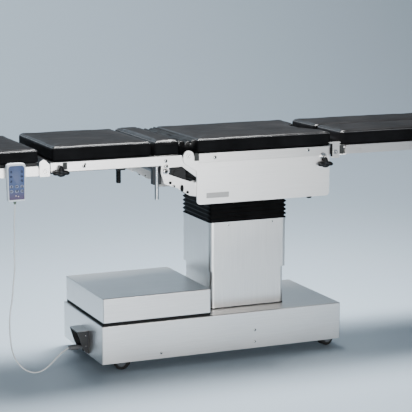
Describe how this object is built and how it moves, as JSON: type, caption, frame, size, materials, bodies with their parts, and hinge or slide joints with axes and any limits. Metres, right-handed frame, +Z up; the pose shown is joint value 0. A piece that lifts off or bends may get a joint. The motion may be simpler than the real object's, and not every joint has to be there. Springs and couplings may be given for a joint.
{
  "type": "operating table",
  "caption": "Mobile operating table: lifting column, tilting top, jointed back, head and split leg sections, corded hand control.",
  "frame": {"origin": "on the floor below the middle of the table's length and width", "axes": "+X towards the leg end, +Y away from the side with the hand control, +Z up"},
  "size_m": [2.2725, 0.5655, 0.9643],
  "materials": {
    "steel_satin": "fine satin brushing",
    "frame_paint": "dark grey powder coat",
    "rubber_black": "matt black rubber",
    "rubber_grey": "pale grey rubber",
    "upholstery": "black coated cloth, satin",
    "plastic_black": "matt black plastic",
    "plastic_blue": "blue plastic",
    "plastic_grey": "grey plastic"
  },
  "bodies": {
    "base": {"base_cover": "steel_satin", "base_chassis": "frame_paint", "base_seal": "rubber_black", "housing_cover": "steel_satin", "control_pack": "plastic_black", "cable_hood": "steel_satin", "lift_tube": "frame_paint", "lower_shell": "steel_satin", "cord_plug": "plastic_black", "handset_cord": "rubber_grey"},
    "sleeve": {"upper_shell": "steel_satin", "mid_tube": "steel_satin", "bellows": "rubber_black"},
    "mast": {"mast": "steel_satin", "pitch_drive": "plastic_black"},
    "tilt": {"tilt_cross": "steel_satin"},
    "seat": {"seat_frame": "frame_paint", "seat_panels": "steel_satin", "seat_bars": "steel_satin", "seat_end_blocks": "plastic_black", "hinge_pins": "steel_satin", "seat_pad": "upholstery", "hinge_web": "rubber_black", "roll_drive": "plastic_black"},
    "back": {"back_frame": "frame_paint", "head_pins": "steel_satin", "back_bars": "steel_satin", "back_arms": "steel_satin", "back_drive": "plastic_black", "back_pad": "upholstery", "back_end_blocks": "plastic_black"},
    "bridge": {"bridge_carriage": "steel_satin", "bridge_pad": "upholstery"},
    "head": {"head_frame": "frame_paint", "head_bars": "steel_satin", "head_pad": "upholstery"},
    "handset": {"handset_shell": "plastic_grey", "handset_keymat": "plastic_blue", "handset_hook": "steel_satin", "cord_boot": "rubber_grey"},
    "castor_front_left": {"castor_fork_front_left": "plastic_black"},
    "wheels_front_left": {"castor_wheels_front_left": "rubber_black"},
    "castor_front_right": {"castor_fork_front_right": "plastic_black"},
    "wheels_front_right": {"castor_wheels_front_right": "rubber_black"},
    "castor_rear_left": {"castor_fork_rear_left": "plastic_black"},
    "wheels_rear_left": {"castor_wheels_rear_left": "rubber_black"},
    "castor_rear_right": {"castor_fork_rear_right": "plastic_black"},
    "wheels_rear_right": {"castor_wheels_rear_right": "rubber_black"},
    "leg_hinge_near": {"leg_hinge_near": "steel_satin", "leg_stop_near": "plastic_black"},
    "leg_near": {"leg_frame_near": "frame_paint", "leg_pad_near": "upholstery"},
    "head_knob_near": {"head_knob_near": "plastic_black"},
    "leg_knob_near": {"leg_knob_near": "plastic_black"},
    "leg_hinge_far": {"leg_hinge_far": "steel_satin", "leg_stop_far": "plastic_black"},
    "leg_far": {"leg_frame_far": "frame_paint", "leg_pad_far": "upholstery"},
    "head_knob_far": {"head_knob_far": "plastic_black"},
    "leg_knob_far": {"leg_knob_far": "plastic_black"}
  },
  "joints": [
    {"name": "column_lift", "type": "slide", "parent": "base", "child": "mast", "axis": [0, 0, 1], "range_m": [-0.2, 0.15], "deforming": ["bellows", "handset_cord"]},
    {"name": "shell_lift", "type": "slide", "parent": "mast", "child": "sleeve", "axis": [0, 0, 1], "range_m": [-0.075, 0.1]},
    {"name": "trendelenburg", "type": "hinge", "parent": "mast", "child": "tilt", "pos_m": [0.052, 0, 0.815], "axis": [0, -1, 0], "range_deg": [-20, 20]},
    {"name": "lateral_tilt", "type": "hinge", "parent": "tilt", "child": "seat", "pos_m": [0.052, 0, 0.815], "axis": [1, 0, 0], "range_deg": [-15, 15]},
    {"name": "back_hinge", "type": "hinge", "parent": "seat", "child": "back", "pos_m": [-0.27, 0, 0.8945], "axis": [0, 1, 0], "range_deg": [-20, 55], "deforming": ["hinge_web"]},
    {"name": "bridge_lift", "type": "slide", "parent": "back", "child": "bridge", "axis": [0, 0, 1], "range_m": [0, 0.1]},
    {"name": "head_hinge", "type": "hinge", "parent": "back", "child": "head", "pos_m": [-0.891, 0, 0.868], "axis": [0, 1, 0], "range_deg": [-60, 25]},
    {"name": "handset_slide", "type": "slide", "parent": "head", "child": "handset", "axis": [1, 0, 0], "range_m": [-0.05, 0.04]},
    {"name": "leg_hinge_near", "type": "hinge", "parent": "seat", "child": "leg_hinge_near", "pos_m": [0.415, -0.258, 0.877], "axis": [0, 1, 0], "range_deg": [-18, 80]},
    {"name": "leg_spread_near", "type": "hinge", "parent": "leg_hinge_near", "child": "leg_near", "pos_m": [0.456, -0.225, 0.877], "axis": [0, 0, -1], "range_deg": [0, 25]},
    {"name": "head_knob_turn_near", "type": "hinge", "parent": "back", "child": "head_knob_near", "pos_m": [-0.83, -0.266, 0.864], "axis": [0, 1, 0], "range_deg": [-180, 180]},
    {"name": "leg_knob_turn_near", "type": "hinge", "parent": "seat", "child": "leg_knob_near", "pos_m": [0.364, -0.266, 0.832], "axis": [0, 1, 0], "range_deg": [-180, 180]},
    {"name": "leg_hinge_far", "type": "hinge", "parent": "seat", "child": "leg_hinge_far", "pos_m": [0.415, 0.258, 0.877], "axis": [0, 1, 0], "range_deg": [-18, 80]},
    {"name": "leg_spread_far", "type": "hinge", "parent": "leg_hinge_far", "child": "leg_far", "pos_m": [0.456, 0.225, 0.877], "axis": [0, 0, 1], "range_deg": [0, 25]},
    {"name": "head_knob_turn_far", "type": "hinge", "parent": "back", "child": "head_knob_far", "pos_m": [-0.83, 0.266, 0.864], "axis": [0, 1, 0], "range_deg": [-180, 180]},
    {"name": "leg_knob_turn_far", "type": "hinge", "parent": "seat", "child": "leg_knob_far", "pos_m": [0.364, 0.266, 0.832], "axis": [0, 1, 0], "range_deg": [-180, 180]},
    {"name": "swivel_front_left", "type": "hinge", "parent": "base", "child": "castor_front_left", "pos_m": [-0.572, -0.1935, 0.096], "axis": [0, 0, 1], "continuous": true},
    {"name": "roll_front_left", "type": "hinge", "parent": "castor_front_left", "child": "wheels_front_left", "pos_m": [-0.55562, -0.20497, 0.034], "axis": [0.5736, 0.8192, 0], "continuous": true},
    {"name": "swivel_front_right", "type": "hinge", "parent": "base", "child": "castor_front_right", "pos_m": [0.3945, -0.1935, 0.096], "axis": [0, 0, 1], "continuous": true},
    {"name": "roll_front_right", "type": "hinge", "parent": "castor_front_right", "child": "wheels_front_right", "pos_m": [0.41406, -0.18934, 0.034], "axis": [-0.2079, 0.9781, 0], "continuous": true},
    {"name": "swivel_rear_left", "type": "hinge", "parent": "base", "child": "castor_rear_left", "pos_m": [-0.572, 0.1935, 0.096], "axis": [0, 0, 1], "continuous": true},
    {"name": "roll_rear_left", "type": "hinge", "parent": "castor_rear_left", "child": "wheels_rear_left", "pos_m": [-0.55562, 0.20497, 0.034], "axis": [-0.5736, 0.8192, 0], "continuous": true},
    {"name": "swivel_rear_right", "type": "hinge", "parent": "base", "child": "castor_rear_right", "pos_m": [0.3945, 0.1935, 0.096], "axis": [0, 0, 1], "continuous": true},
    {"name": "roll_rear_right", "type": "hinge", "parent": "castor_rear_right", "child": "wheels_rear_right", "pos_m": [0.41406, 0.18934, 0.034], "axis": [0.2079, 0.9781, 0], "continuous": true}
  ],
  "couplings": [
    {"joint": "shell_lift", "follows": "column_lift", "ratio": -0.5}
  ]
}
